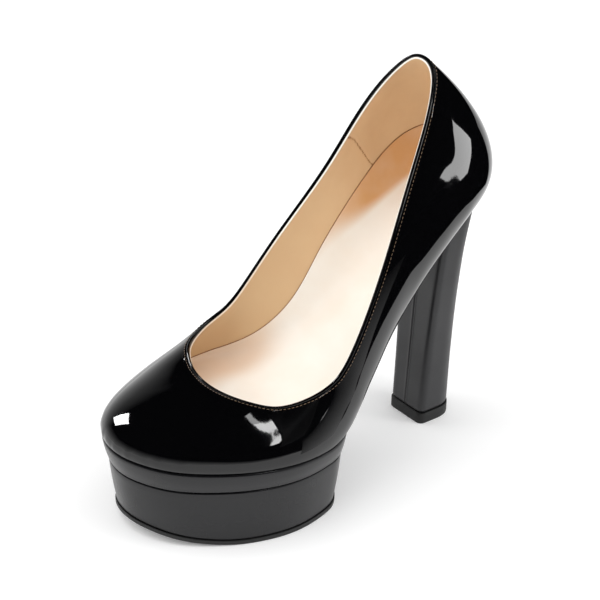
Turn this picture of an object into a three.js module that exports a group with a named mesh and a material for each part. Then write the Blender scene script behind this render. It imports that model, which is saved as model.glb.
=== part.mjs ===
// A high-heeled platform pump for the left foot, patent leather over a two-layer platform.
// Millimetres. The toe points along -Y, the outer (lateral) side of the foot is +X, the floor is z = 0.
// Every piece is a skin lofted through closed rings of points. The rings come from short tables:
// a row is one section across the foot, counted from the toe to the back of the heel.
import * as THREE from 'three';

// Overall sizes
const shoeLength = 202;          // toe to the back of the heel seat, measured level
const ballWidth = 95;            // across the upper at the ball of the foot
const heelHeight = 122.5;        // floor to the underside of the heel seat
const counterHeight = 72;        // heel seat to the top edge at the back of the heel
const vampLength = 48.7;         // toe to the middle of the throat
const throatHeight = 21;         // platform to the edge of the throat
const wall = 1.8;                // upper leather with its lining
const gap = 0.3;                 // glue line between two pieces that meet

// Platform and soles
const outsoleThickness = 2.4;
const outsoleLip = 0.5;          // the outsole stands out this far round the platform
const platformRear = 28.5;       // floor to the top of the platform at its back
const platformFront = 31.9;      // the same at the toe
const bandRear = 9.9;            // platform band at the back
const bandFront = 11.3;          // platform band at the toe
const bandTaper = 2.1;           // how far the band draws in over its height
const bandStep = 0.6;            // step in from the band to the platform
const platformTaper = 2.9;       // how far the platform draws in over its height
const bellyHeight = 0.5;         // share of the platform's height where its side is fullest
const bellyTaper = 0.4;          // share of its taper that is reached there
const edgeRound = 1.2;           // softened edges of band and platform
const toeSpring = 8;             // lift of the outsole's front end
const springEnd = 45;            // the outsole is flat from here back
const waistStart = 83;           // the sole leaves the platform here
const soleThickness = 3;
const insoleThickness = 2.2;

// Heel and top lift
const tipWidth = 23.6;
const tipLength = 22.8;
const tipFront = 172.2;          // toe to the front face of the heel at the floor
const tipInward = 4.2;           // the heel's foot stands this far to the inner side
const heelTopWidth = 34;
const liftThickness = 6;
const liftLip = 0.4;             // the top lift stands out this far round the heel
const cornerRadius = 3.6;        // front corners of the heel
const backDepth = 0.52;          // share of the heel's length taken by its round back
const sideFullness = 0.36;       // share of that depth at which the round leaves the side
const backFullness = 0.62;       // share of the half width at which it reaches the back

// How finely the skins are cut
const stepsBetweenRows = 3;
const stepsUpWall = 11;
const lowSteps = 1.5;            // crowds the wall's steps towards the sole, where it turns under
const insoleReach = 0.6;         // share of the wall's height under which the insole's edge is sought

// Edge of the sole from toe to heel. along is a share of shoeLength,
// lateral and medial are the distances out to each side as shares of ballWidth.
const soleRows = [
  { along: 0.000, lateral: -0.052, medial: 0.052 },
  { along: 0.016, lateral: 0.098, medial: 0.205 },
  { along: 0.065, lateral: 0.258, medial: 0.333 },
  { along: 0.144, lateral: 0.385, medial: 0.432 },
  { along: 0.228, lateral: 0.468, medial: 0.487 },
  { along: 0.330, lateral: 0.509, medial: 0.491 },
  { along: 0.430, lateral: 0.477, medial: 0.441 },
  { along: 0.514, lateral: 0.405, medial: 0.295 },
  { along: 0.598, lateral: 0.311, medial: 0.194 },
  { along: 0.677, lateral: 0.247, medial: 0.153 },
  { along: 0.756, lateral: 0.221, medial: 0.163 },
  { along: 0.836, lateral: 0.211, medial: 0.192 },
  { along: 0.905, lateral: 0.189, medial: 0.205 },
  { along: 0.969, lateral: 0.121, medial: 0.160 },
  { along: 1.000, lateral: -0.037, medial: 0.037 },
];

// Rear edge of the platform, behind the ball row of the table above.
const platformRearRows = [
  { along: 0.494, lateral: 0.398, medial: 0.350 },
  { along: 0.545, lateral: 0.216, medial: 0.200 },
  { along: 0.560, lateral: 0.000, medial: 0.000 },
];

// Top edge of the upper over each sole row, on the outer side. back is how far it lies behind the
// sole's edge as a share of vampLength, lean how far ahead as a share of counterHeight, instep and
// rise its height over the sole as shares of throatHeight and counterHeight, side its distance out
// as a share of ballWidth.
const lateralTop = [
  { back: 1.000, lean: 0.000, instep: 1.00, rise: 0.000, side: 0.003 },
  { back: 0.953, lean: 0.000, instep: 1.01, rise: 0.000, side: 0.095 },
  { back: 0.795, lean: 0.000, instep: 1.05, rise: 0.000, side: 0.192 },
  { back: 0.581, lean: 0.000, instep: 1.03, rise: 0.000, side: 0.274 },
  { back: 0.394, lean: 0.000, instep: 1.00, rise: 0.005, side: 0.335 },
  { back: 0.187, lean: 0.000, instep: 0.95, rise: 0.055, side: 0.377 },
  { back: 0.000, lean: 0.008, instep: 0.70, rise: 0.175, side: 0.394 },
  { back: 0.000, lean: 0.099, instep: 0.35, rise: 0.286, side: 0.393 },
  { back: 0.000, lean: 0.155, instep: 0.10, rise: 0.428, side: 0.368 },
  { back: 0.000, lean: 0.183, instep: 0.00, rise: 0.569, side: 0.324 },
  { back: 0.000, lean: 0.213, instep: 0.00, rise: 0.680, side: 0.265 },
  { back: 0.000, lean: 0.258, instep: 0.00, rise: 0.752, side: 0.203 },
  { back: 0.000, lean: 0.303, instep: 0.00, rise: 0.831, side: 0.141 },
  { back: 0.000, lean: 0.356, instep: 0.00, rise: 0.935, side: 0.050 },
  { back: 0.000, lean: 0.420, instep: 0.00, rise: 0.988, side: -0.046 },
];

// The same on the inner side, where the edge is cut a little higher.
const medialTop = [
  { back: 1.000, lean: 0.000, instep: 1.00, rise: 0.000, side: -0.003 },
  { back: 0.947, lean: 0.000, instep: 1.01, rise: 0.000, side: 0.089 },
  { back: 0.780, lean: 0.000, instep: 1.07, rise: 0.000, side: 0.179 },
  { back: 0.530, lean: 0.000, instep: 1.14, rise: 0.005, side: 0.268 },
  { back: 0.296, lean: 0.000, instep: 1.15, rise: 0.035, side: 0.337 },
  { back: 0.084, lean: 0.000, instep: 1.05, rise: 0.130, side: 0.377 },
  { back: 0.000, lean: 0.058, instep: 0.70, rise: 0.316, side: 0.379 },
  { back: 0.000, lean: 0.155, instep: 0.35, rise: 0.483, side: 0.363 },
  { back: 0.000, lean: 0.197, instep: 0.10, rise: 0.640, side: 0.335 },
  { back: 0.000, lean: 0.211, instep: 0.00, rise: 0.711, side: 0.304 },
  { back: 0.000, lean: 0.245, instep: 0.00, rise: 0.728, side: 0.274 },
  { back: 0.000, lean: 0.297, instep: 0.00, rise: 0.769, side: 0.250 },
  { back: 0.000, lean: 0.338, instep: 0.00, rise: 0.856, side: 0.206 },
  { back: 0.000, lean: 0.385, instep: 0.00, rise: 0.956, side: 0.133 },
  { back: 0.000, lean: 0.420, instep: 0.00, rise: 0.988, side: 0.046 },
];

// Swell of the wall between the two edges, on both sides, as shares of the distance between them:
// how far it first runs out and up from the sole, and how far out and down from the top edge.
const swellRows = [
  { lowOut: 0.10, lowUp: 0.26, highOut: 0.38, highDown: 0.09 },
  { lowOut: 0.10, lowUp: 0.26, highOut: 0.37, highDown: 0.09 },
  { lowOut: 0.10, lowUp: 0.27, highOut: 0.34, highDown: 0.10 },
  { lowOut: 0.10, lowUp: 0.29, highOut: 0.30, highDown: 0.11 },
  { lowOut: 0.10, lowUp: 0.32, highOut: 0.25, highDown: 0.13 },
  { lowOut: 0.10, lowUp: 0.34, highOut: 0.20, highDown: 0.15 },
  { lowOut: 0.12, lowUp: 0.32, highOut: 0.15, highDown: 0.18 },
  { lowOut: 0.18, lowUp: 0.28, highOut: 0.11, highDown: 0.22 },
  { lowOut: 0.23, lowUp: 0.23, highOut: 0.09, highDown: 0.28 },
  { lowOut: 0.26, lowUp: 0.20, highOut: 0.11, highDown: 0.31 },
  { lowOut: 0.28, lowUp: 0.18, highOut: 0.16, highDown: 0.31 },
  { lowOut: 0.29, lowUp: 0.18, highOut: 0.21, highDown: 0.31 },
  { lowOut: 0.29, lowUp: 0.20, highOut: 0.25, highDown: 0.30 },
  { lowOut: 0.26, lowUp: 0.22, highOut: 0.29, highDown: 0.29 },
  { lowOut: 0.23, lowUp: 0.25, highOut: 0.31, highDown: 0.28 },
];

// Heel from its foot up to the seat. up is a share of the heel's height, front and back are moves
// towards the back of the shoe as shares of tipLength, widen goes from 0 at the tip to 1 at the seat,
// centre is the way from the tip's middle line back to the shoe's own.
const heelRows = [
  { up: 0.00, front: 0.00, back: 0.00, widen: 0.00, centre: 0.00 },
  { up: 0.30, front: 0.04, back: -0.03, widen: 0.16, centre: 0.17 },
  { up: 0.60, front: 0.08, back: -0.01, widen: 0.42, centre: 0.34 },
  { up: 0.82, front: 0.12, back: 0.07, widen: 0.68, centre: 0.46 },
  { up: 0.94, front: 0.15, back: 0.16, widen: 0.90, centre: 0.50 },
  { up: 1.00, front: 0.16, back: 0.23, widen: 1.00, centre: 0.50 },
];

// Height lines along the shoe

function share(from, to, part) {
  return from + (to - from) * part;
}

const platformLength = platformRearRows[platformRearRows.length - 1].along * shoeLength;

function floorLine(y) {
  const rest = Math.max(0, 1 - y / springEnd);
  return toeSpring * rest * rest;
}

function platformLine(y) {
  return share(platformFront, platformRear, y / platformLength);
}

function bandLine(y) {
  return platformLine(y) + share(bandFront, bandRear, y / platformLength);
}

// Underside of the last: along the band, and from the waist in one smooth rise to the heel seat.
function underLine(y) {
  const climb = THREE.MathUtils.smoothstep(y, waistStart, shoeLength);
  return share(bandLine(y), heelHeight, climb);
}

function underNormal(y) {
  const slope = underLine(y + 0.5) - underLine(y - 0.5);
  return new THREE.Vector3(0, -slope, 1).normalize();
}

// Smooth closed curves

// Weights of the cubic spline whose curve runs through every value of a closed list.
function splineWeights(values) {
  const count = values.length;
  let weights = values.slice();
  for (let pass = 0; pass < 40; pass++) {
    const last = weights;
    weights = values.map((value, i) => (6 * value - last[(i + count - 1) % count] - last[(i + 1) % count]) / 4);
  }
  return weights;
}

function splineAt(weights, place) {
  const count = weights.length;
  const start = Math.floor(place);
  const t = place - start;
  const at = (step) => weights[(start + step + count) % count];
  const before = (1 - t) ** 3 / 6;
  const here = (3 * t ** 3 - 6 * t ** 2 + 4) / 6;
  const next = (-3 * t ** 3 + 3 * t ** 2 + 3 * t + 1) / 6;
  const after = t ** 3 / 6;
  return before * at(-1) + here * at(0) + next * at(1) + after * at(2);
}

// A closed curve round the shoe: out along the lateral side, back along the medial side.
function closedCurve(lateralPoints, medialPoints) {
  const inner = medialPoints.slice(1, -1).reverse();
  const points = lateralPoints.concat(inner);
  const weights = ['x', 'y', 'z'].map((axis) => splineWeights(points.map((point) => point[axis])));
  const at = (place) => new THREE.Vector3(...weights.map((axisWeights) => splineAt(axisWeights, place)));
  return { at, count: points.length };
}

// The number of a table row on both sides of the closed curve, for numbers that both sides share.
function mirroredWeights(rows, column) {
  const values = rows.map((row) => row[column]);
  return splineWeights(values.concat(values.slice(1, -1).reverse()));
}

// The level direction pointing out of a closed curve at one place.
function outward(curve, place) {
  const step = 0.02;
  const along = curve.at(place + step).sub(curve.at(place - step));
  return new THREE.Vector3(along.y, -along.x, 0).normalize();
}

function edgePoint(row, side) {
  const y = row.along * shoeLength;
  const x = side > 0 ? row.lateral * ballWidth : -row.medial * ballWidth;
  return new THREE.Vector3(x, y, underLine(y));
}

const soleEdge = closedCurve(
  soleRows.map((row) => edgePoint(row, 1)),
  soleRows.map((row) => edgePoint(row, -1)),
);

const platformRows = soleRows.slice(0, 7).concat(platformRearRows);
const platformEdge = closedCurve(
  platformRows.map((row) => edgePoint(row, 1)),
  platformRows.map((row) => edgePoint(row, -1)),
);

// The wall of the upper

function topPoint(index, side) {
  const row = (side > 0 ? lateralTop : medialTop)[index];
  const edge = edgePoint(soleRows[index], side);
  const y = edge.y + row.back * vampLength - row.lean * counterHeight;
  const z = edge.z + row.instep * throatHeight + row.rise * counterHeight;
  return new THREE.Vector3(side * row.side * ballWidth, y, z);
}

const topEdge = closedCurve(
  soleRows.map((row, i) => topPoint(i, 1)),
  soleRows.map((row, i) => topPoint(i, -1)),
);

const swell = {};
for (const column of ['lowOut', 'lowUp', 'highOut', 'highDown']) {
  swell[column] = mirroredWeights(swellRows, column);
}

// A point of the wall's outer face: place runs round the shoe, height from 0 at the sole to 1 at the top.
function wallFace(place, height) {
  const foot = soleEdge.at(place);
  foot.z = underLine(foot.y) + gap;
  const top = topEdge.at(place);
  const out = outward(soleEdge, place);
  const up = underNormal(foot.y);
  const reach = foot.distanceTo(top);
  const low = foot.clone()
    .addScaledVector(out, splineAt(swell.lowOut, place) * reach)
    .addScaledVector(up, splineAt(swell.lowUp, place) * reach);
  const high = top.clone()
    .addScaledVector(out, splineAt(swell.highOut, place) * reach)
    .addScaledVector(up, -splineAt(swell.highDown, place) * reach);
  return new THREE.CubicBezierCurve3(foot, low, high, top).getPoint(height);
}

// The same point moved into the leather, square to the face.
function wallPoint(place, height, depth) {
  const step = 0.01;
  const low = Math.max(0, height - step);
  const high = Math.min(1, height + step);
  const up = wallFace(place, high).sub(wallFace(place, low));
  const along = wallFace(place + step, height).sub(wallFace(place - step, height));
  const normal = along.cross(up).normalize();
  return wallFace(place, height).addScaledVector(normal, -depth);
}

// Height on the wall at which its lining is a given distance above the sole's edge.
function liningHeight(place, distance) {
  const foot = soleEdge.at(place);
  const up = underNormal(foot.y);
  foot.z = underLine(foot.y) + gap;
  let low = 0;
  let high = insoleReach;
  for (let pass = 0; pass < 20; pass++) {
    const middle = (low + high) / 2;
    const above = wallPoint(place, middle, wall).sub(foot).dot(up);
    if (above < distance) low = middle;
    else high = middle;
  }
  return (low + high) / 2;
}

// Skins

function ringPlaces(curve) {
  const count = curve.count * stepsBetweenRows;
  return Array.from({ length: count }, (_, i) => i / stepsBetweenRows);
}

// A closed skin over rings of equal count. A tube closes on its own first ring, and any other
// skin is closed by strips that run from side to side across its first and last ring.
function skin(rings, tube = false) {
  const count = rings[0].length;
  const positions = rings.flat().flatMap((point) => [point.x, point.y, point.z]);
  const faces = [];
  const bands = tube ? rings.length : rings.length - 1;
  for (let band = 0; band < bands; band++) {
    const here = band * count;
    const next = ((band + 1) % rings.length) * count;
    for (let i = 0; i < count; i++) {
      const j = (i + 1) % count;
      faces.push([here + i, here + j, next + j], [here + i, next + j, next + i]);
    }
  }
  if (!tube) {
    const last = (rings.length - 1) * count;
    for (let i = 0; i < count / 2; i++) {
      const far = (count - i) % count;
      const farNext = count - i - 1;
      const corners = [i, i + 1, farNext, far];
      const triangles = [[corners[0], corners[1], corners[2]], [corners[0], corners[2], corners[3]]];
      for (const [a, b, c] of triangles) {
        if (a === b || b === c || a === c) continue;
        faces.push([a, c, b], [last + a, last + b, last + c]);
      }
    }
  }
  const geometry = new THREE.BufferGeometry();
  geometry.setAttribute('position', new THREE.Float32BufferAttribute(positions, 3));
  const inside = signedVolume(positions, faces) < 0;
  geometry.setIndex(faces.flatMap(([a, b, c]) => (inside ? [a, c, b] : [a, b, c])));
  geometry.computeVertexNormals();
  return geometry;
}

function signedVolume(positions, faces) {
  const corner = (i) => new THREE.Vector3(positions[3 * i], positions[3 * i + 1], positions[3 * i + 2]);
  let total = 0;
  for (const [a, b, c] of faces) {
    total += corner(a).dot(corner(b).cross(corner(c)));
  }
  return total;
}

// A ring that follows a closed curve at a distance inside it, at the height of a line.
function insetRing(curve, inset, line) {
  return ringPlaces(curve).map((place) => {
    const point = curve.at(place).addScaledVector(outward(curve, place), -inset);
    point.z = line(point.y);
    return point;
  });
}

// Pieces

function makeUpper() {
  const places = ringPlaces(soleEdge);
  const heights = Array.from({ length: stepsUpWall + 1 }, (_, i) => (i / stepsUpWall) ** lowSteps);
  const outside = heights.map((height) => places.map((place) => wallPoint(place, height, 0)));
  const inside = heights.map((height) => places.map((place) => wallPoint(place, height, wall)));
  return skin(outside.concat(inside.reverse()), true);
}

// The sole fills the opening under the upper, inside the turned-in edge of its wall.
function makeSole() {
  const ring = (thickness) => ringPlaces(soleEdge).map((place) => {
    const out = outward(soleEdge, place);
    const face = wallPoint(place, 0, 0);
    const lining = wallPoint(place, 0, wall);
    const inset = Math.max(0, face.clone().sub(lining).dot(out)) + gap;
    const point = face.addScaledVector(out, -inset);
    point.z = underLine(point.y) + gap;
    return point.addScaledVector(underNormal(point.y), thickness);
  });
  return skin([ring(0), ring(soleThickness)]);
}

function makeInsole() {
  const bottom = soleThickness + 2 * gap;
  const ring = (distance) => ringPlaces(soleEdge).map((place) => {
    const height = liningHeight(place, distance);
    return wallPoint(place, height, wall + gap);
  });
  return skin([ring(bottom), ring(bottom + insoleThickness)]);
}

function makeBand() {
  const round = (line, step) => (y) => line(y) + step;
  return skin([
    insetRing(platformEdge, bandTaper + edgeRound / 2, platformLine),
    insetRing(platformEdge, bandTaper, round(platformLine, edgeRound)),
    insetRing(platformEdge, 0, round(underLine, -edgeRound)),
    insetRing(platformEdge, edgeRound / 2, underLine),
  ]);
}

function makePlatform() {
  const top = bandTaper + bandStep;
  const bottom = top + platformTaper;
  const middle = top + platformTaper * bellyTaper;
  const sole = (y) => floorLine(y) + outsoleThickness + gap;
  return skin([
    insetRing(platformEdge, bottom + edgeRound, sole),
    insetRing(platformEdge, bottom, (y) => sole(y) + edgeRound),
    insetRing(platformEdge, middle, (y) => share(sole(y), platformLine(y), bellyHeight)),
    insetRing(platformEdge, top, (y) => platformLine(y) - gap),
  ]);
}

function makeOutsole() {
  const edge = bandTaper + bandStep + platformTaper - outsoleLip;
  return skin([
    insetRing(platformEdge, edge + outsoleLip, floorLine),
    insetRing(platformEdge, edge, (y) => floorLine(y) + outsoleThickness / 2),
    insetRing(platformEdge, edge, (y) => floorLine(y) + outsoleThickness),
  ]);
}

// Section of the heel seen from above: a flat front with rounded corners and a round back.
function heelOutline(row, lip) {
  const front = tipFront + row.front * tipLength - lip;
  const back = tipFront + (1 + row.back) * tipLength + lip;
  const half = share(tipWidth, heelTopWidth, row.widen) / 2 + lip;
  const middle = -tipInward * (1 - row.centre);
  const corner = cornerRadius;
  const depth = (back - front) * backDepth;
  const turn = back - depth * sideFullness;
  const flat = half * backFullness;
  const shape = new THREE.Shape();
  shape.moveTo(middle - half + corner, front);
  shape.lineTo(middle + half - corner, front);
  shape.quadraticCurveTo(middle + half, front, middle + half, front + corner);
  shape.lineTo(middle + half, back - depth);
  shape.bezierCurveTo(middle + half, turn, middle + flat, back, middle, back);
  shape.bezierCurveTo(middle - flat, back, middle - half, turn, middle - half, back - depth);
  shape.lineTo(middle - half, front + corner);
  shape.quadraticCurveTo(middle - half, front, middle - half + corner, front);
  const points = shape.getPoints(8);
  points.pop();
  return points;
}

// The same section set at the height that a line gives for each of its points.
function heelRing(row, lip, heightAt) {
  return heelOutline(row, lip).map((point) => new THREE.Vector3(point.x, point.y, heightAt(point.y)));
}

function makeHeel() {
  const foot = liftThickness + gap;
  return skin(heelRows.map((row) => heelRing(row, 0, (y) => share(foot, underLine(y), row.up))));
}

function makeTopLift() {
  return skin([0, liftThickness].map((z) => heelRing(heelRows[0], liftLip, () => z)));
}

// Finishes

const patentBlack = new THREE.MeshStandardMaterial({ color: '#08080a', roughness: 0.08, metalness: 0 });
const coveredBlack = new THREE.MeshStandardMaterial({ color: '#141416', roughness: 0.3, metalness: 0 });
const rubberBlack = new THREE.MeshStandardMaterial({ color: '#121212', roughness: 0.7, metalness: 0 });
const soleBlack = new THREE.MeshStandardMaterial({ color: '#161616', roughness: 0.5, metalness: 0 });
const creamLeather = new THREE.MeshStandardMaterial({ color: '#ead9c2', roughness: 0.55, metalness: 0 });

const pieces = [
  ['upper', makeUpper(), patentBlack],
  ['insole', makeInsole(), creamLeather],
  ['sole', makeSole(), soleBlack],
  ['platform_band', makeBand(), coveredBlack],
  ['platform', makePlatform(), coveredBlack.clone()],
  ['outsole', makeOutsole(), rubberBlack],
  ['heel', makeHeel(), coveredBlack.clone()],
  ['top_lift', makeTopLift(), rubberBlack.clone()],
];

const shoe = new THREE.Group();
for (const [name, geometry, material] of pieces) {
  const mesh = new THREE.Mesh(geometry, material);
  mesh.name = name;
  shoe.add(mesh);
}

// The origin is on the floor under the middle of the shoe.
const box = new THREE.Box3().setFromObject(shoe);
const middle = box.getCenter(new THREE.Vector3());
shoe.position.set(-middle.x, -middle.y, -box.min.z);

const model = new THREE.Group();
model.add(shoe);

export default model;
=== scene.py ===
# Left platform pump in black patent leather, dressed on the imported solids.
# Sizes are millimetres on the shoe's own scale: y runs from the toe back to the heel, x is positive
# on the outer side, z is the height over the floor. Meshes are turned to metres as they are made.
import math
import bmesh
import bpy
import numpy as np
from mathutils import Matrix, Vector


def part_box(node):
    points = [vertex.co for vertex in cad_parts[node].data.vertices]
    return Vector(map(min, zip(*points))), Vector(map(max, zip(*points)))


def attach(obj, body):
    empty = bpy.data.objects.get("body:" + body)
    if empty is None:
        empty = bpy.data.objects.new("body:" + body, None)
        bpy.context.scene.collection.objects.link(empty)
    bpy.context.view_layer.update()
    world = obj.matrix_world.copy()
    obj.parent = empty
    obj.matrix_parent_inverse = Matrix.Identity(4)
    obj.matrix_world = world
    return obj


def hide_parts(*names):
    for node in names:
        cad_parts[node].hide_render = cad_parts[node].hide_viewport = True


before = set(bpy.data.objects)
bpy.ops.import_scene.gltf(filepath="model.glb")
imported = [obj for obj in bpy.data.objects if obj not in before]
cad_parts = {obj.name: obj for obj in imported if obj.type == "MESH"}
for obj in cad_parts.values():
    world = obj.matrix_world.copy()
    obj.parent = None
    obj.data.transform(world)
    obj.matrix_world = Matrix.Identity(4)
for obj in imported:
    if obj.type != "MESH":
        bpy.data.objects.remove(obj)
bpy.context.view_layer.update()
scene = bpy.context.scene

# Sizes of the shoe, as in the part's source
SHOE_LENGTH = 202
BALL_WIDTH = 95
HEEL_HEIGHT = 122.5
COUNTER_HEIGHT = 72
VAMP_LENGTH = 48.7
THROAT_HEIGHT = 21
WALL = 1.8
GAP = 0.3
OUTSOLE_THICKNESS = 2.4
OUTSOLE_LIP = 0.5
PLATFORM_REAR = 28.5
PLATFORM_FRONT = 31.9
BAND_REAR = 9.9
BAND_FRONT = 11.3
BAND_TAPER = 2.1
BAND_STEP = 0.6
PLATFORM_TAPER = 2.9
TOE_SPRING = 8
SPRING_END = 45
WAIST_START = 83
SOLE_THICKNESS = 3
SOCK_THICKNESS = 2.2
TIP_WIDTH = 23.6
TIP_LENGTH = 22.8
TIP_FRONT = 172.2
TIP_INWARD = 4.2
HEEL_TOP_WIDTH = 34
LIFT_THICKNESS = 6
LIFT_LIP = 0.4
CORNER_RADIUS = 3.6

# Sizes of what is dressed onto it
ROLL_RADIUS = 0.78       # rolled edge round the topline, half its height
ROLL_HALF = 0.98         # half its thickness
ROLL_DROP = 0.62         # its middle lies this far under the edge
LINING_EDGE = 0.42       # half the thickness of the lining where it shows along the edge
STITCH_DROP = 2.2        # stitch line under the topline
STITCH_PITCH = 1.9
STITCH_LENGTH = 1.3
THREAD = 0.26            # thread thickness
PATENT = 1.2             # the patent leather alone; the lining makes up the rest of the wall
FEATHER_ROUND = 0.7      # how far the leather draws in where it turns under the sole
SOCK_LEATHER = 0.7       # sock leather where it turns up the lining
SEAM_WIDTH = 0.55        # half width of a closed seam
SEAM_DEPTH = 0.35
SHOULDER_HEIGHT = 0.12   # the leather swells softly on both sides of it
SHOULDER_WAY = 1.5       # so far from the seam
SHOULDER_WIDTH = 0.9
EDGE_ROUND = 1.3         # rounded edges of the wrapped platform
LINING_CLEAR = 0.05      # the lining stands this far off wall and patent leather
SOCK_CLEAR = 0.08        # and the sock leather this far off the wall
GRIP_PLACE = 13          # mm along the wall from one place to the next, where the grip seam runs
BACK_DEPTH = 0.52        # share of the heel's length that its round back takes
SIDE_FULLNESS = 0.36     # how full that curve is beside the back, and behind it
BACK_FULLNESS = 0.62
PLACES_A_ROW = 16        # points from one row of the tables to the next
WELD_DISTANCE = 0.000002  # in metres
ROUNDING = np.radians([0, 22, 45, 68, 90])

# Rows from the toe to the back of the heel: share of SHOE_LENGTH, and the distances out
# to the outer and the inner side as shares of BALL_WIDTH.
SOLE_ROWS = [
    (0.000, -0.052, 0.052),
    (0.016, 0.098, 0.205),
    (0.065, 0.258, 0.333),
    (0.144, 0.385, 0.432),
    (0.228, 0.468, 0.487),
    (0.330, 0.509, 0.491),
    (0.430, 0.477, 0.441),
    (0.514, 0.405, 0.295),
    (0.598, 0.311, 0.194),
    (0.677, 0.247, 0.153),
    (0.756, 0.221, 0.163),
    (0.836, 0.211, 0.192),
    (0.905, 0.189, 0.205),
    (0.969, 0.121, 0.160),
    (1.000, -0.037, 0.037),
]

PLATFORM_ROWS = SOLE_ROWS[:7] + [
    (0.494, 0.398, 0.350),
    (0.545, 0.216, 0.200),
    (0.560, 0.000, 0.000),
]

# Topline over each sole row: back as a share of VAMP_LENGTH, lean forward as a share of
# COUNTER_HEIGHT, instep and rise as shares of THROAT_HEIGHT and COUNTER_HEIGHT, side of BALL_WIDTH.
LATERAL_TOP = [
    (1.000, 0.000, 1.00, 0.000, 0.003),
    (0.953, 0.000, 1.01, 0.000, 0.095),
    (0.795, 0.000, 1.05, 0.000, 0.192),
    (0.581, 0.000, 1.03, 0.000, 0.274),
    (0.394, 0.000, 1.00, 0.005, 0.335),
    (0.187, 0.000, 0.95, 0.055, 0.377),
    (0.000, 0.008, 0.70, 0.175, 0.394),
    (0.000, 0.099, 0.35, 0.286, 0.393),
    (0.000, 0.155, 0.10, 0.428, 0.368),
    (0.000, 0.183, 0.00, 0.569, 0.324),
    (0.000, 0.213, 0.00, 0.680, 0.265),
    (0.000, 0.258, 0.00, 0.752, 0.203),
    (0.000, 0.303, 0.00, 0.831, 0.141),
    (0.000, 0.356, 0.00, 0.935, 0.050),
    (0.000, 0.420, 0.00, 0.988, -0.046),
]

MEDIAL_TOP = [
    (1.000, 0.000, 1.00, 0.000, -0.003),
    (0.947, 0.000, 1.01, 0.000, 0.089),
    (0.780, 0.000, 1.07, 0.000, 0.179),
    (0.530, 0.000, 1.14, 0.005, 0.268),
    (0.296, 0.000, 1.15, 0.035, 0.337),
    (0.084, 0.000, 1.05, 0.130, 0.377),
    (0.000, 0.058, 0.70, 0.316, 0.379),
    (0.000, 0.155, 0.35, 0.483, 0.363),
    (0.000, 0.197, 0.10, 0.640, 0.335),
    (0.000, 0.211, 0.00, 0.711, 0.304),
    (0.000, 0.245, 0.00, 0.728, 0.274),
    (0.000, 0.297, 0.00, 0.769, 0.250),
    (0.000, 0.338, 0.00, 0.856, 0.206),
    (0.000, 0.385, 0.00, 0.956, 0.133),
    (0.000, 0.420, 0.00, 0.988, 0.046),
]

# Swell of the wall over each row: out and up from the sole, out and down from the topline.
SWELL_ROWS = [
    (0.10, 0.26, 0.38, 0.09),
    (0.10, 0.26, 0.37, 0.09),
    (0.10, 0.27, 0.34, 0.10),
    (0.10, 0.29, 0.30, 0.11),
    (0.10, 0.32, 0.25, 0.13),
    (0.10, 0.34, 0.20, 0.15),
    (0.12, 0.32, 0.15, 0.18),
    (0.18, 0.28, 0.11, 0.22),
    (0.23, 0.23, 0.09, 0.28),
    (0.26, 0.20, 0.11, 0.31),
    (0.28, 0.18, 0.16, 0.31),
    (0.29, 0.18, 0.21, 0.31),
    (0.29, 0.20, 0.25, 0.30),
    (0.26, 0.22, 0.29, 0.29),
    (0.23, 0.25, 0.31, 0.28),
]

# Heel from its foot to the seat: share of its height, moves of front and back as shares of
# TIP_LENGTH, widening, and the way back to the shoe's middle line.
HEEL_ROWS = np.array([
    (0.00, 0.00, 0.00, 0.00, 0.00),
    (0.30, 0.04, -0.03, 0.16, 0.17),
    (0.60, 0.08, -0.01, 0.42, 0.34),
    (0.82, 0.12, 0.07, 0.68, 0.46),
    (0.94, 0.15, 0.16, 0.90, 0.50),
    (1.00, 0.16, 0.23, 1.00, 0.50),
])

# Soft troughs (negative) and ridges on the upper, from one spot of the wall to another:
# place round the shoe, height on the wall, the same again, half width and depth in mm.
SOFT_CREASES = [
    (6.9, 0.20, 6.5, 0.78, 6.0, -0.16),
    (7.6, 0.20, 7.2, 0.74, 6.0, -0.14),
    (7.3, 0.24, 6.9, 0.76, 4.5, 0.08),
    (22.2, 0.30, 22.6, 0.74, 5.0, -0.22),
    (21.5, 0.24, 21.9, 0.66, 4.5, -0.16),
    (11.2, 0.25, 11.5, 0.80, 5.0, -0.16),
    (11.8, 0.25, 12.0, 0.80, 4.0, 0.12),
    (16.8, 0.25, 16.5, 0.80, 5.0, -0.16),
    (8.6, 0.18, 9.6, 0.50, 6.0, -0.20),
    (19.6, 0.18, 18.6, 0.50, 6.0, -0.20),
]

# How high the edge of the sock stands on the lining over each sole row, in mm above the sole.
SOCK_RISE = [6.3, 6.3, 6.5, 6.9, 7.3, 8.0, 11.4, 14.0, 15.0, 18.6, 20.2, 20.3, 21.4, 25.0, 26.5]

MEDIAL_SEAM = 19.55      # place of the closed side seam, on the inner side of the waist
# Seam where the heel grip of the lining begins: height on the wall and place on the inner side;
# on the outer side it is the same, mirrored.
GRIP_SEAM = [(0.37, 16.54), (0.55, 16.75), (0.76, 17.04), (1.0, 17.42)]


# Height lines

def share(start, end, part):
    return start + (end - start) * part


def smoothstep(value, low, high):
    part = np.clip((value - low) / (high - low), 0, 1)
    return part * part * (3 - 2 * part)


PLATFORM_LENGTH = PLATFORM_ROWS[-1][0] * SHOE_LENGTH


def floor_line(y):
    return TOE_SPRING * np.maximum(0, 1 - y / SPRING_END) ** 2


def platform_line(y):
    return share(PLATFORM_FRONT, PLATFORM_REAR, y / PLATFORM_LENGTH)


def band_line(y):
    return platform_line(y) + share(BAND_FRONT, BAND_REAR, y / PLATFORM_LENGTH)


def under_line(y):
    return share(band_line(y), HEEL_HEIGHT, smoothstep(y, WAIST_START, SHOE_LENGTH))


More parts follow.
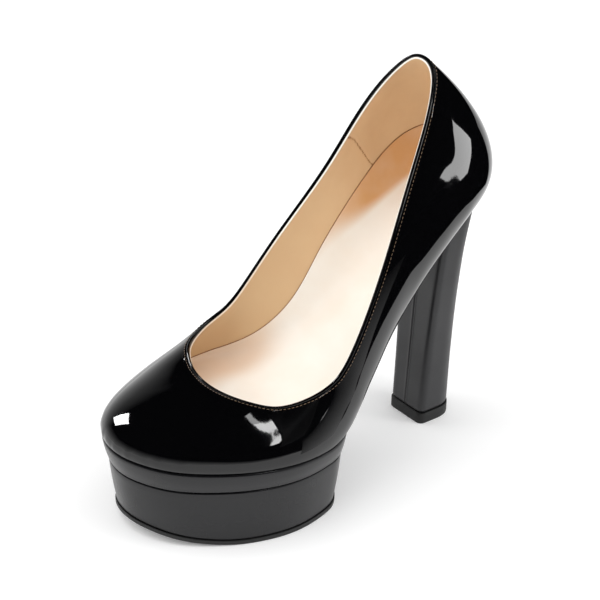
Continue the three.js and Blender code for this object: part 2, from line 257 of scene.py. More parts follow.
def under_normal(y):
    slope = under_line(y + 0.5) - under_line(y - 0.5)
    return unit(np.stack([np.zeros_like(y), -slope, np.ones_like(y)], -1))


# Closed curves round the shoe

def unit(vectors):
    return vectors / np.maximum(np.linalg.norm(vectors, axis=-1, keepdims=True), 1e-12)


def spline_weights(values):
    """Weights of the closed cubic spline that runs through every value."""
    count = len(values)
    once = np.eye(count)
    spread = (4 * once + np.roll(once, 1, 0) + np.roll(once, -1, 0)) / 6
    return np.linalg.solve(spread, values)


def spline_at(weights, places):
    count = len(weights)
    start = np.floor(places).astype(int)
    t = (places - start)[..., None]
    before = weights[(start - 1) % count] * (1 - t) ** 3
    here = weights[start % count] * (3 * t ** 3 - 6 * t ** 2 + 4)
    ahead = weights[(start + 1) % count] * (-3 * t ** 3 + 3 * t ** 2 + 3 * t + 1)
    after = weights[(start + 2) % count] * t ** 3
    return (before + here + ahead + after) / 6


def closed_curve(lateral, medial):
    """A closed line: out along the outer side's points and back along the inner side's."""
    return spline_weights(np.array(list(lateral) + list(medial)[-2:0:-1], dtype=float))


def outward(curve, places):
    along = spline_at(curve, places + 0.02) - spline_at(curve, places - 0.02)
    return unit(np.stack([along[..., 1], -along[..., 0], np.zeros_like(places)], -1))


def edge_point(row, side):
    y = row[0] * SHOE_LENGTH
    x = row[1] * BALL_WIDTH if side > 0 else -row[2] * BALL_WIDTH
    return (x, y, under_line(y))


def top_point(index, side):
    back, lean, instep, rise, out = (LATERAL_TOP if side > 0 else MEDIAL_TOP)[index]
    x, y, z = edge_point(SOLE_ROWS[index], side)
    top_y = y + back * VAMP_LENGTH - lean * COUNTER_HEIGHT
    return (side * out * BALL_WIDTH, top_y, z + instep * THROAT_HEIGHT + rise * COUNTER_HEIGHT)


SOLE_EDGE = closed_curve(
    [edge_point(row, 1) for row in SOLE_ROWS],
    [edge_point(row, -1) for row in SOLE_ROWS],
)
PLATFORM_EDGE = closed_curve(
    [edge_point(row, 1) for row in PLATFORM_ROWS],
    [edge_point(row, -1) for row in PLATFORM_ROWS],
)
ROW_COUNT = len(SOLE_ROWS)
TOP_EDGE = closed_curve(
    [top_point(i, 1) for i in range(ROW_COUNT)],
    [top_point(i, -1) for i in range(ROW_COUNT)],
)
SWELL = closed_curve(SWELL_ROWS, SWELL_ROWS)
ROUND = len(SOLE_EDGE)


# The wall of the upper

def wall_face(places, heights):
    foot = spline_at(SOLE_EDGE, places)
    foot[..., 2] = under_line(foot[..., 1]) + GAP
    top = spline_at(TOP_EDGE, places)
    out = outward(SOLE_EDGE, places)
    up = under_normal(foot[..., 1])
    reach = np.linalg.norm(top - foot, axis=-1, keepdims=True)
    swell = spline_at(SWELL, places) * reach
    low = foot + out * swell[..., 0:1] + up * swell[..., 1:2]
    high = top + out * swell[..., 2:3] - up * swell[..., 3:4]
    h = heights[..., None]
    return (1 - h) ** 3 * foot + 3 * h * (1 - h) ** 2 * low + 3 * h * h * (1 - h) * high + h ** 3 * top


def wall_normal(places, heights):
    up = wall_face(places, np.minimum(heights + 0.01, 1)) - wall_face(places, np.maximum(heights - 0.01, 0))
    along = wall_face(places + 0.01, heights) - wall_face(places - 0.01, heights)
    return unit(np.cross(along, up))


def wall_point(places, heights, depth):
    """A point of the wall moved into the leather, at a height kept between sole and topline."""
    inside = np.clip(heights, 0, 1)
    depth = np.broadcast_to(depth, inside.shape)[..., None]
    return wall_face(places, inside) - wall_normal(places, inside) * depth


def height_under_top(places, drop):
    """Height on the wall that lies a given distance under the topline, measured on the wall in steps
    that are smallest near the topline."""
    steps = 1 - np.linspace(0, 1, 160) ** 1.6
    grid_places = np.repeat(places[:, None], len(steps), 1)
    line = wall_face(grid_places, np.broadcast_to(steps, grid_places.shape))
    run = np.linalg.norm(np.diff(line, axis=1), axis=-1).cumsum(1)
    run = np.concatenate([np.zeros((len(places), 1)), run], 1)
    return np.array([np.interp(drop, run[i], steps) for i in range(len(places))])


def lining_height(places, distance):
    """Height on the wall at which the lining is a given distance above the sole's edge."""
    foot = spline_at(SOLE_EDGE, places)
    up = under_normal(foot[..., 1])
    foot[..., 2] = under_line(foot[..., 1]) + GAP
    low = np.zeros_like(places)
    high = np.full_like(places, 0.6)
    for _ in range(20):
        middle = (low + high) / 2
        above = ((wall_point(places, middle, WALL) - foot) * up).sum(-1)
        low = np.where(above < distance, middle, low)
        high = np.where(above < distance, high, middle)
    return (low + high) / 2


def crease_relief(points):
    """How far the leather stands out (or in, below zero) at points of the upper."""
    relief = np.zeros(points.shape[:-1])
    for from_place, from_height, to_place, to_height, width, depth in SOFT_CREASES:
        ends = wall_face(np.array([from_place, to_place]), np.array([from_height, to_height]))
        line = ends[1] - ends[0]
        part = np.clip(((points - ends[0]) @ line) / (line @ line), 0, 1)
        near = np.linalg.norm(points - ends[0] - part[..., None] * line, axis=-1)
        relief += depth * np.exp(-(near / width) ** 2)
    return relief


def toe_pleats(places, heights):
    """Small ripples where the leather is pulled over the toe, just above the band."""
    from_toe = np.minimum(places % ROUND, -places % ROUND)
    reach = 3.0
    middle = 0.07
    depth = 0.10
    fade = np.exp(-(from_toe / reach) ** 4) * np.exp(-((heights - middle) / middle) ** 2)
    return depth * fade * (np.sin(places * 13.0) + 0.5 * np.sin(places * 21.0 + 1.3))


def seam_relief(places, seam, scale):
    """A closed seam along one place of the wall: a narrow valley between two soft shoulders."""
    from_seam = (places - seam) * scale
    valley = np.exp(-(from_seam / SEAM_WIDTH) ** 2)
    shoulders = np.exp(-((np.abs(from_seam) - SHOULDER_WAY) / SHOULDER_WIDTH) ** 2)
    return SHOULDER_HEIGHT * shoulders - SEAM_DEPTH * valley


def places_round(fine=()):
    """Places round the shoe, even apart from crowded ones in each fine stretch."""
    places = np.arange(ROUND * PLACES_A_ROW) / PLACES_A_ROW
    for start, end in fine:
        places = places[(places < start - 0.01) | (places > end + 0.01)]
        places = np.concatenate([places, np.linspace(start, end, int((end - start) / 0.02) + 1)])
    return np.sort(places)


# Meshes

def solid(name, points, faces, material, sharp=40, others=()):
    """A smooth mesh object from points in mm and faces; points that coincide become one. Each of the
    others gives a further material and the numbers of the faces that take it."""
    mesh = bpy.data.meshes.new(name)
    mesh.from_pydata((np.reshape(points, (-1, 3)) * 0.001 + SHIFT).tolist(), [], faces)
    mesh.materials.append(material)
    slots = np.zeros(len(mesh.polygons), dtype=int)
    for other, other_faces in others:
        slots[np.array(other_faces)] = len(mesh.materials)
        mesh.materials.append(other)
    mesh.polygons.foreach_set("material_index", slots)
    welded = bmesh.new()
    welded.from_mesh(mesh)
    bmesh.ops.remove_doubles(welded, verts=welded.verts, dist=WELD_DISTANCE)
    welded.to_mesh(mesh)
    welded.free()
    mesh.validate()
    mesh.polygons.foreach_set("use_smooth", [True] * len(mesh.polygons))
    mesh.set_sharp_from_angle(angle=math.radians(sharp))
    piece = bpy.data.objects.new(name, mesh)
    scene.collection.objects.link(piece)
    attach(piece, "root")
    return piece


def ring_faces(rings, count, tube=False):
    """Strips between rings of points that each close on themselves; a tube ends on its first ring."""
    i = np.arange(count)
    j = (i + 1) % count
    faces = []
    for ring in range(rings if tube else rings - 1):
        here = ring * count
        ahead = (ring + 1) % rings * count
        faces += np.stack([here + i, here + j, ahead + j, ahead + i], 1).tolist()
    return faces


def cover(ring, steps):
    """Points across a ring from its outer to its inner side, row by row, and the faces between them.
    The ring's first point and the one half way round are its tips."""
    count = len(ring)
    half = count // 2
    across = np.linspace(0, 1, steps + 1)[1:-1]
    outer = ring[1:half]
    inner = ring[count - 1:half:-1]
    inside = outer[:, None] + (inner - outer)[:, None] * across[None, :, None]
    width = steps - 1
    number = count + np.arange((half - 1) * width).reshape(half - 1, width)
    rows = np.concatenate([np.arange(1, half)[:, None], number, np.arange(count - 1, half, -1)[:, None]], 1)
    faces = []
    for step in range(steps):
        faces.append([0, rows[0, step], rows[0, step + 1]])
        faces.append([half, rows[-1, step + 1], rows[-1, step]])
    for row in range(half - 2):
        for step in range(steps):
            faces.append([rows[row, step], rows[row + 1, step], rows[row + 1, step + 1], rows[row, step + 1]])
    return inside.reshape(-1, 3), [[int(i) for i in face] for face in faces]


def slab(name, rings, material, steps):
    """A closed layer: rings from its underside up its edge to its top, covered at both ends."""
    count = len(rings[0])
    faces = ring_faces(len(rings), count)
    below, below_faces = cover(rings[0], steps)
    above, above_faces = cover(rings[-1], steps)
    base = len(rings) * count

    def number(i, ring, start):
        return ring * count + i if i < count else start + i - count

    faces += [[number(i, 0, base) for i in face] for face in below_faces]
    start = base + len(below)
    faces += [[number(i, len(rings) - 1, start) for i in reversed(face)] for face in above_faces]
    return solid(name, np.concatenate([*rings, below, above]), faces, material)


def inset_ring(curve, places, inset, line, lift=0.0):
    ring = spline_at(curve, places) - outward(curve, places) * inset
    ring[:, 2] = line(ring[:, 1]) + lift
    return ring


# Materials

def linear(code):
    """An sRGB hex colour as the linear colour that a shader takes."""
    parts = [int(code[i:i + 2], 16) / 255 for i in (1, 3, 5)]
    return tuple(c / 12.92 if c <= 0.04045 else ((c + 0.055) / 1.055) ** 2.4 for c in parts) + (1.0,)


def settle(tree, node, settings=None, links=None):
    """Give a node its properties, its socket values and the sockets that feed it. A node that is
    named as a source feeds from its first output."""
    for name, value in (settings or {}).items():
        if isinstance(name, str) and hasattr(node, name):
            setattr(node, name, value)
        else:
            node.inputs[name].default_value = value
    for name, source in (links or {}).items():
        if isinstance(source, bpy.types.Node):
            source = next(socket for socket in source.outputs if socket.enabled)
        tree.links.new(source, node.inputs[name])
    return node


def add(tree, kind, settings=None, links=None):
    """A new shader node with its settings and links."""
    return settle(tree, tree.nodes.new("ShaderNode" + kind), settings, links)


def new_material(name):
    """An empty node material: its tree, its shader, and coordinates in metres on the shoe."""
    material = bpy.data.materials.new(name)
    material.use_nodes = True
    tree = material.node_tree
    shader = tree.nodes["Principled BSDF"]
    place = add(tree, "TexCoord").outputs["Object"]
    return material, tree, shader, place


def per_metre(size_mm):
    """Texture scale at which one cell is size_mm wide."""
    return 1000 / size_mm


def black_patent_leather():
    """Chrome-tanned leather under a poured polyurethane lacquer: deep black and mirror smooth, with
    a slow waviness from the hide below and a few hairline rubs."""
    material, tree, shader, place = new_material("black_patent_leather")
    wave = add(tree, "TexNoise", {"Scale": per_metre(17), "Detail": 1.5, "Roughness": 0.45},
               {"Vector": place})
    hide = add(tree, "TexNoise", {"Scale": per_metre(1.6), "Detail": 3.0}, {"Vector": place})
    wave_bump = add(tree, "Bump", {"Strength": 0.5, "Distance": 0.00016}, {"Height": wave})
    hide_bump = add(tree, "Bump", {"Strength": 0.08, "Distance": 0.00005},
                    {"Height": hide, "Normal": wave_bump})
    stretched = add(tree, "Mapping", {"Scale": (1.0, 0.16, 0.5)}, {"Vector": place})
    rub = add(tree, "TexNoise", {"Scale": per_metre(2.2), "Detail": 6.0, "Roughness": 0.7},
              {"Vector": stretched})
    rub_rough = add(tree, "MapRange",
                    {"From Min": 0.58, "From Max": 0.80, "To Min": 0.035, "To Max": 0.13},
                    {"Value": rub})
    tone = add(tree, "Mix", {"data_type": "RGBA", "A": linear("#020203"), "B": linear("#060607")},
               {"Factor": hide})
    settle(tree, shader, {"IOR": 1.5}, {"Base Color": tone, "Roughness": rub_rough, "Normal": hide_bump})
    return material


def wrapped_patent_leather(name, low, high, index, smooth, hazy):
    """The same lacquered leather pulled tight and glued round platform or heel: a little less even,
    with a satin haze where it was pressed. smooth and hazy are the roughness it ranges between."""
    material, tree, shader, place = new_material(name)
    press = add(tree, "TexNoise", {"Scale": per_metre(24), "Detail": 2.0}, {"Vector": place})
    hide = add(tree, "TexNoise", {"Scale": per_metre(1.2), "Detail": 4.0}, {"Vector": place})
    press_bump = add(tree, "Bump", {"Strength": 0.6, "Distance": 0.0002}, {"Height": press})
    hide_bump = add(tree, "Bump", {"Strength": 0.12, "Distance": 0.00005},
                    {"Height": hide, "Normal": press_bump})
    haze = add(tree, "MapRange", {"From Min": 0.3, "From Max": 0.7, "To Min": smooth, "To Max": hazy},
               {"Value": press})
    tone = add(tree, "Mix", {"data_type": "RGBA", "A": linear(low), "B": linear(high)},
               {"Factor": hide})
    settle(tree, shader, {"IOR": index}, {"Base Color": tone, "Roughness": haze, "Normal": hide_bump})
    return material


def nude_lining_leather():
    """Drum-dyed sheepskin lining, plated smooth: warm tan with fine pores, and painted light that makes it
    lighter towards the heel, lifting the heel cup's shade.
    """
    material, tree, shader, place = new_material("nude_lining_leather")
    parts = add(tree, "SeparateXYZ", None, {"Vector": place})
    # Painted light: the tan grows lighter towards the heel, against the shade in the heel cup.
    painted_light_to_heel = add(tree, "MapRange",
                  {"interpolation_type": "SMOOTHSTEP", "From Min": -0.03, "From Max": 0.075},
                  {"Value": parts.outputs["Y"]})
    base = add(tree, "Mix", {"data_type": "RGBA", "A": linear("#DBB88C"), "B": linear("#E8C79D")},
               {"Factor": painted_light_to_heel})
    cloud = add(tree, "TexNoise", {"Scale": per_metre(14), "Detail": 3.0}, {"Vector": place})
    cloud_part = add(tree, "MapRange", {"From Min": 0.35, "From Max": 0.75, "To Max": 0.35},
                     {"Value": cloud})
    tone = add(tree, "Mix", {"data_type": "RGBA", "B": linear("#D9B288")},
               {"Factor": cloud_part, "A": base})
    pores = add(tree, "TexVoronoi", {"Scale": per_metre(0.7)}, {"Vector": place})
    pore_bump = add(tree, "Bump", {"Strength": 0.25, "Distance": 0.00008}, {"Height": pores})
    rough = add(tree, "MapRange", {"To Min": 0.42, "To Max": 0.58}, {"Value": cloud})
    settle(tree, shader, {"IOR": 1.45, "Sheen Weight": 0.12, "Sheen Roughness": 0.4},
           {"Base Color": tone, "Roughness": rough, "Normal": pore_bump})
    return material


def cream_sock_leather():
    """Plated sheepskin sock glued over a thin foam: nearly white, with painted shade in tan where
    it turns up along the inner side, most at the heel seat and a little beside the ball."""
    material, tree, shader, place = new_material("cream_sock_leather")
    parts = add(tree, "SeparateXYZ", None, {"Vector": place})
    # Painted shade: masks by position darken the sock to tan where it turns up the inner side, beside the
    # heel seat and beside the ball.
    slanted = add(tree, "Math", {"operation": "MULTIPLY_ADD", 1: -0.122},
                  {0: parts.outputs["Y"], 2: parts.outputs["X"]})
    beside_seat = add(tree, "MapRange",
                      {"interpolation_type": "SMOOTHSTEP", "From Min": -0.0285, "From Max": -0.0325},
                      {"Value": slanted})
    to_seat = add(tree, "MapRange",
                  {"interpolation_type": "SMOOTHSTEP", "From Min": 0.005, "From Max": 0.050},
                  {"Value": parts.outputs["Y"]})
    seat = add(tree, "Math", {"operation": "MULTIPLY"},
               {0: beside_seat, 1: to_seat})
    beside_ball = add(tree, "MapRange",
                      {"interpolation_type": "SMOOTHSTEP", "From Min": -0.016, "From Max": -0.032,
                       "To Max": 0.5},
                      {"Value": parts.outputs["X"]})
    to_ball = add(tree, "MapRange",
                  {"interpolation_type": "SMOOTHSTEP", "From Min": 0.014, "From Max": -0.010},
                  {"Value": parts.outputs["Y"]})
    sock_painted_shade = add(tree, "Math", {"operation": "MULTIPLY_ADD"},
                  {0: beside_ball, 1: to_ball, 2: seat})
    # DFAC77 is the colour of the painted shade.
    base = add(tree, "Mix", {"data_type": "RGBA", "A": linear("#FCF8F0"), "B": linear("#DFAC77")},
               {"Factor": sock_painted_shade})
    cloud = add(tree, "TexNoise", {"Scale": per_metre(22), "Detail": 3.0}, {"Vector": place})
    cloud_part = add(tree, "MapRange", {"From Min": 0.4, "From Max": 0.8, "To Max": 0.4},
                     {"Value": cloud})
    tone = add(tree, "Mix", {"data_type": "RGBA", "B": linear("#F3E4D3")},
               {"Factor": cloud_part, "A": base})
    pores = add(tree, "TexVoronoi", {"Scale": per_metre(0.8)}, {"Vector": place})
    pore_bump = add(tree, "Bump", {"Strength": 0.2, "Distance": 0.00007}, {"Height": pores})
    rough = add(tree, "MapRange", {"To Min": 0.45, "To Max": 0.6}, {"Value": cloud})
    settle(tree, shader, {"IOR": 1.45}, {"Base Color": tone, "Roughness": rough, "Normal": pore_bump})
    return material


def dyed_and_shaded_edge(name, low, high):
    """Cut edge of drum-dyed leather, darkened with edge dye and further as painted shade of the joint where
    it lies: shows as a fine darker line.
    """
    material, tree, shader, place = new_material(name)
    fibre = add(tree, "TexNoise", {"Scale": per_metre(0.8), "Detail": 4.0}, {"Vector": place})
    tone = add(tree, "Mix", {"data_type": "RGBA", "A": linear(low), "B": linear(high)},
               {"Factor": fibre})
    fibre_bump = add(tree, "Bump", {"Strength": 0.3, "Distance": 0.00006}, {"Height": fibre})
    settle(tree, shader, {"Roughness": 0.6}, {"Base Color": tone, "Normal": fibre_bump})
    return material


def black_sole_sheet():
    """Printed and waxed synthetic sole sheet on the underside of the arch: even black, low sheen."""
    material, tree, shader, place = new_material("black_sole_sheet")
    fibre = add(tree, "TexNoise", {"Scale": per_metre(0.9), "Detail": 5.0}, {"Vector": place})
    fibre_bump = add(tree, "Bump", {"Strength": 0.2, "Distance": 0.00006}, {"Height": fibre})
    tone = add(tree, "Mix", {"data_type": "RGBA", "A": linear("#121212"), "B": linear("#1b1b1b")},
               {"Factor": fibre})
    rough = add(tree, "MapRange", {"To Min": 0.38, "To Max": 0.55}, {"Value": fibre})
    settle(tree, shader, {"IOR": 1.5}, {"Base Color": tone, "Roughness": rough, "Normal": fibre_bump})
    return material


def black_moulded_rubber(name, rib_mm, low, high):
    """Filled thermoplastic rubber, injection moulded: matt black, with broad low ribs across the tread.
    A band texture runs through 20 radians over one unit of its scale."""
    material, tree, shader, place = new_material(name)
    grit = add(tree, "TexNoise", {"Scale": per_metre(0.6), "Detail": 5.0}, {"Vector": place})
    rib_scale = per_metre(rib_mm) * 2 * math.pi / 20
    ribs = add(tree, "TexWave", {"bands_direction": "Y", "Scale": rib_scale, "Distortion": 0.2},
               {"Vector": place})
    facing = add(tree, "NewGeometry").outputs["Normal"]
    parts = add(tree, "SeparateXYZ", None, {"Vector": facing})
    below = add(tree, "MapRange", {"From Min": -0.8, "From Max": -0.95},
                {"Value": parts.outputs["Z"]})
    tread = add(tree, "Math", {"operation": "MULTIPLY"}, {0: ribs.outputs["Fac"], 1: below})
    tread_bump = add(tree, "Bump", {"Strength": 0.7, "Distance": 0.0004}, {"Height": tread})
    grit_bump = add(tree, "Bump", {"Strength": 0.25, "Distance": 0.00006},
                    {"Height": grit, "Normal": tread_bump})
    tone = add(tree, "Mix", {"data_type": "RGBA", "A": linear(low), "B": linear(high)},
               {"Factor": grit})
    rough = add(tree, "MapRange", {"To Min": 0.45, "To Max": 0.65}, {"Value": grit})
    settle(tree, shader, {"IOR": 1.45}, {"Base Color": tone, "Roughness": rough, "Normal": grit_bump})
    return material


def tan_polyester_thread():
    """Bonded polyester sewing thread, twisted from three strands: the twist is drawn at 0.5 mm."""
    material, tree, shader, place = new_material("tan_polyester_thread")
    twist = add(tree, "TexNoise", {"Scale": per_metre(0.5), "Detail": 2.0}, {"Vector": place})
    tone = add(tree, "Mix", {"data_type": "RGBA", "A": linear("#2E2218"), "B": linear("#8A6A46")},
               {"Factor": twist})
    twist_bump = add(tree, "Bump", {"Strength": 0.4, "Distance": 0.00008}, {"Height": twist})
    settle(tree, shader, {"Roughness": 0.45, "Sheen Weight": 0.3}, {"Base Color": tone, "Normal": twist_bump})
    return material


def studio_paper():
    """White seamless paper as the lacquer sees it, lit unevenly: the mesh says how bright each point is."""
    material, tree, shader, _ = new_material("studio_paper")
    brightness = add(tree, "Attribute", {"attribute_name": "glow"})
    settle(tree, shader, {"Base Color": linear("#000000"), "Emission Color": linear("#FFFFFF")},
           {"Emission Strength": brightness.outputs["Fac"]})
    return material


def pale_studio_floor():
    """Matt pale floor that glows a little itself: the glow is painted light, which keeps its shadows light.
    """
    material, tree, shader, place = new_material("pale_studio_floor")
    mottle = add(tree, "TexNoise", {"Scale": per_metre(120), "Detail": 2.0}, {"Vector": place})
    tone = add(tree, "Mix", {"data_type": "RGBA", "A": linear("#F4F4F4"), "B": linear("#F8F8F8")},
               {"Factor": mottle})
    settle(tree, shader, {"Roughness": 0.8, "Specular IOR Level": 0.1,
                          "Emission Color": linear("#FFFFFF"), "Emission Strength": 0.14},
           {"Base Color": tone})
    return material


patent = black_patent_leather()
platform_cover = wrapped_patent_leather("wrapped_patent_leather", "#0A0A0C", "#131316", 1.45, 0.2, 0.34)
heel_cover = wrapped_patent_leather("heel_patent_leather", "#141416", "#1D1D20", 1.52, 0.36, 0.5)
lining_leather = nude_lining_leather()
sock_leather = cream_sock_leather()
# Dyed edges that are darker also as painted shade: of the sock's joint with the lining, and of the grip
# seam's groove.
sock_lip_dye_and_shade = dyed_and_shaded_edge("sock_lip_dye_and_shade", "#84593A", "#AC8058")
grip_seam_dye_and_shade = dyed_and_shaded_edge("grip_seam_dye_and_shade", "#A2734A", "#B88A5E")
sole_sheet = black_sole_sheet()
outsole_rubber = black_moulded_rubber("black_outsole_rubber", 18.85, "#141414", "#1E1E1E")
tip_rubber = black_moulded_rubber("black_tip_rubber", 10.05, "#080808", "#0F0F0F")
thread = tan_polyester_thread()
paper = studio_paper()

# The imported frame's origin on the shoe's own scale, from the corner of the top lift
lift_low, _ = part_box("top_lift")
SHIFT = np.array([
    lift_low[0] + 0.001 * (TIP_INWARD + TIP_WIDTH / 2 + LIFT_LIP),
    lift_low[1] - 0.001 * (TIP_FRONT - LIFT_LIP),
    lift_low[2],
])


# Upper

def upper_skin():
    """The patent leather: from under the sole's edge up the wall and over the rolled topline."""
    places = places_round([(MEDIAL_SEAM - 0.28, MEDIAL_SEAM + 0.28)])
    top = height_under_top(places, np.array([STITCH_DROP - 0.2]))[:, 0]
    rows_up = 66
    crowding = 1.15
    parts = np.linspace(0, 1, rows_up) ** crowding
    heights = top[None, :] * parts[:, None]
    grid_places = np.broadcast_to(places, heights.shape)
    face = wall_face(grid_places, heights)
    scale = np.linalg.norm(spline_at(SOLE_EDGE, np.array([MEDIAL_SEAM + 0.5])) -
                           spline_at(SOLE_EDGE, np.array([MEDIAL_SEAM - 0.5])))
    relief = crease_relief(face) + toe_pleats(grid_places, heights)
    relief += seam_relief(grid_places, MEDIAL_SEAM, scale)
    relief *= smoothstep(heights, 0.0, 0.05)
    relief -= FEATHER_ROUND * (1 - smoothstep(heights, -0.004, 0.024))
    rows = list(face + wall_normal(grid_places, heights) * relief[..., None])
    foot = np.zeros_like(places)
    turned_in = [wall_point(places, foot, WALL), wall_point(places, foot, FEATHER_ROUND + 0.3)]
    angles = np.radians(np.linspace(-55, 205, 15))
    drops = ROLL_DROP - ROLL_RADIUS * np.sin(angles)
    depths = WALL / 2 - ROLL_HALF * np.cos(angles)
    for drop, depth in [(1.75, 0.06), (1.5, 0.16)]:
        groove = height_under_top(places, np.array([drop]))[:, 0]
        rows.append(wall_point(places, groove, depth))
    edge = topline_rows(places, drops, depths)
    back = [wall_point(places, share(top, 0.03, part), PATENT) for part in np.linspace(0, 1, 24)]
    stack = np.stack(turned_in + rows + edge + back)
    return solid("upper_patent", stack, ring_faces(len(stack), len(places), tube=True), patent, 50)


def topline_rows(places, drops, depths):
    """Rows of points along the topline, each so far under it and so deep behind the outer face."""
    heights = height_under_top(places, np.maximum(drops, 0))
    one = np.ones_like(places)
    up = unit(wall_face(places, one) - wall_face(places, one * 0.98))
    rows = []
    for i, depth in enumerate(depths):
        over = max(-drops[i], 0)
        rows.append(wall_point(places, heights[:, i], depth) + up * over)
    return rows


def lining_skin():
    """The lining: from its folded edge inside the topline, which takes the cream sock colour as a painted
    highlight, down the wall to below the sock, and back up against the patent leather. A thin seam, darker
    with dye and painted shade, shows where the heel grip begins."""
    places = places_round([(10.50, 11.56), (16.44, 17.50)])
    seam_heights, seam_places = np.transpose(GRIP_SEAM)
    angles = np.radians(np.linspace(20, 250, 9))
    fold_drop = 0.42
    fold_depth = WALL + 0.32
    drops = fold_drop - LINING_EDGE * np.sin(angles)
    depths = fold_depth - LINING_EDGE * np.cos(angles)
    rows = topline_rows(places, drops, depths)
    # Painted highlight: the folded edge takes the cream sock leather, standing in for light caught along the
    # edge.
    folded = np.arange(len(rows) * len(places))
    top = height_under_top(places, np.array([1.6]))[:, 0]
    low = lining_height(places, np.full_like(places, SOLE_THICKNESS))
    count = len(places)
    seam_faces = []
    seam_half = 0.2
    ridge_width = 0.36
    ridge_height = 0.3
    grip_sunk = 0.12
    for part in np.linspace(0, 1, 40):
        heights = share(top, low, part)
        seam_line = np.interp(heights, seam_heights, seam_places)
        from_seam = np.abs(places - ROUND / 2) - (seam_line - ROUND / 2)
        ridge = np.exp(-(from_seam * GRIP_PLACE / ridge_width) ** 2)
        relief = ridge_height * ridge - grip_sunk * smoothstep(from_seam, -0.10, -0.03)
        # Faces on the seam take the dyed edge colour, which also paints the shade of the seam's groove.
        on_seam = np.flatnonzero(np.abs(from_seam * GRIP_PLACE) < seam_half)
        seam_faces += (len(rows) * count + on_seam).tolist()
        rows.append(wall_point(places, heights, WALL + LINING_CLEAR - relief * smoothstep(part, 0, 0.06)))
    for part in np.linspace(1, 0, 16):
        rows.append(wall_point(places, share(top, low, part), PATENT + LINING_CLEAR))
    stack = np.stack(rows)
    return solid("lining", stack, ring_faces(len(stack), count, tube=True), lining_leather, 50,
                 [(grip_seam_dye_and_shade, seam_faces), (sock_leather, folded)])


def stitch_line():
    """One row of lock stitches just under the rolled edge, as one mesh."""
    fine = np.linspace(0, ROUND, 3000, endpoint=False)
    heights = height_under_top(fine, np.array([STITCH_DROP]))[:, 0]
    line = wall_point(fine, heights, -0.06)
    run = np.linalg.norm(np.roll(line, -1, 0) - line, axis=-1).cumsum()
    count = int(run[-1] / STITCH_PITCH)
    middles = np.interp(np.arange(count) * run[-1] / count, np.concatenate([[0], run[:-1]]), fine)
    height = np.interp(middles, fine, heights)
    centre = wall_point(middles, height, -0.04)
    normal = wall_normal(middles, height)
    along = wall_point(middles + 0.02, height, 0) - wall_point(middles - 0.02, height, 0)
    along = unit(along)
    side = np.cross(normal, along)
    sides = 8
    turn = np.arange(sides) * 2 * math.pi / sides
    half_profile = [(0.2, 1.0, 0.1), (0.42, 0.7, -0.1), (0.5, 0.15, -0.35)]
    profile = [(-length, thick, lift) for length, thick, lift in half_profile[::-1]] + half_profile
    rings = []
    for length, thick, lift in profile:
        ring = centre[:, None] + along[:, None] * length * STITCH_LENGTH
        ring = ring + side[:, None] * (np.cos(turn)[None, :, None] * thick * THREAD / 2)
        ring = ring + normal[:, None] * (np.sin(turn)[None, :, None] * thick * THREAD / 2 + lift * THREAD)
        rings.append(ring)
    points = np.stack(rings, 1).reshape(-1, 3)
    one = ring_faces(len(profile), sides)
    one.append(list(range(sides))[::-1])
    one.append([(len(profile) - 1) * sides + i for i in range(sides)])
    size = len(profile) * sides
    faces = [[start * size + i for i in face] for start in range(count) for face in one]
    return solid("topline_stitches", points, faces, thread, 60)


upper = upper_skin()
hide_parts("upper")
lining = lining_skin()
stitches = stitch_line()


# Sock and sole

def sock():
    """The cream sock on its insole: flat under the foot, turned up the lining along its edge like a
    shallow cup, with a dyed cut edge that also paints the shade of its joint. Each row of points goes once
    round its section."""
    half = ROUND // 2
    rows = half * PLACES_A_ROW + 1
    outer = np.linspace(0, half, rows)
    inner = (ROUND - outer) % ROUND
    rise = spline_weights(np.array(SOCK_RISE + SOCK_RISE[-2:0:-1], dtype=float)[:, None])
    base_up = SOLE_THICKNESS + 2 * GAP
    floor_up = base_up + SOCK_THICKNESS

    def back(places):
        """Up the lining behind the sock, from the sole to the lip."""
        edge = spline_at(rise, places)[:, 0]
        heights = [lining_height(places, share(base_up, edge, part)) for part in np.linspace(0, 1, 8)]
        return np.stack([wall_point(places, height, WALL + SOCK_CLEAR) for height in heights], 1)

    def side(places):
        """From the lip on the lining down to the edge of the flat middle."""
        edge = spline_at(rise, places)[:, 0]
        points = []
        for over, depth in [(0.30, 0.02), (0.30, 0.30), (0.12, SOCK_LEATHER - 0.06)]:
            points.append(wall_point(places, lining_height(places, edge + over), WALL + SOCK_CLEAR + depth))
        for part in np.linspace(0, 1, 10):
            height = lining_height(places, share(edge, floor_up, part))
            points.append(wall_point(places, height, WALL + SOCK_CLEAR + SOCK_LEATHER))
        return np.stack(points, 1)

    left = side(outer)
    right = side(inner)[:, ::-1]
    across = np.linspace(0, 1, 22)[1:-1, None]
    middle = left[:, -1:] + (right[:, :1] - left[:, -1:]) * across
    stack = np.concatenate([left, middle, right], 1)
    count, width = stack.shape[:2]
    held = np.zeros((count, width))
    held[:, :4] = 1
    held[:, -4:] = 1
    stack = relaxed(stack, held, passes=26)
    left_back = back(outer)
    right_back = back(inner)[:, ::-1]
    under = right_back[:, -1:] + (left_back[:, :1] - right_back[:, -1:]) * across
    stack = np.concatenate([stack, right_back, under, left_back], 1)
    loop = stack.shape[1]
    number = np.arange(count * loop).reshape(count, loop)
    ahead = np.roll(number, -1, 1)
    faces = np.stack([number[:-1], number[1:], ahead[1:], ahead[:-1]], -1)
    # The lip takes the dyed edge colour, which also paints the shade of the sock's joint with the lining.
    lip = number[:-1, [0, 1, width - 3, width - 2, width - 1]].ravel()
    return solid("sock", stack, faces.reshape(-1, 4).tolist(), sock_leather, 60, [(sock_lip_dye_and_shade, lip)])


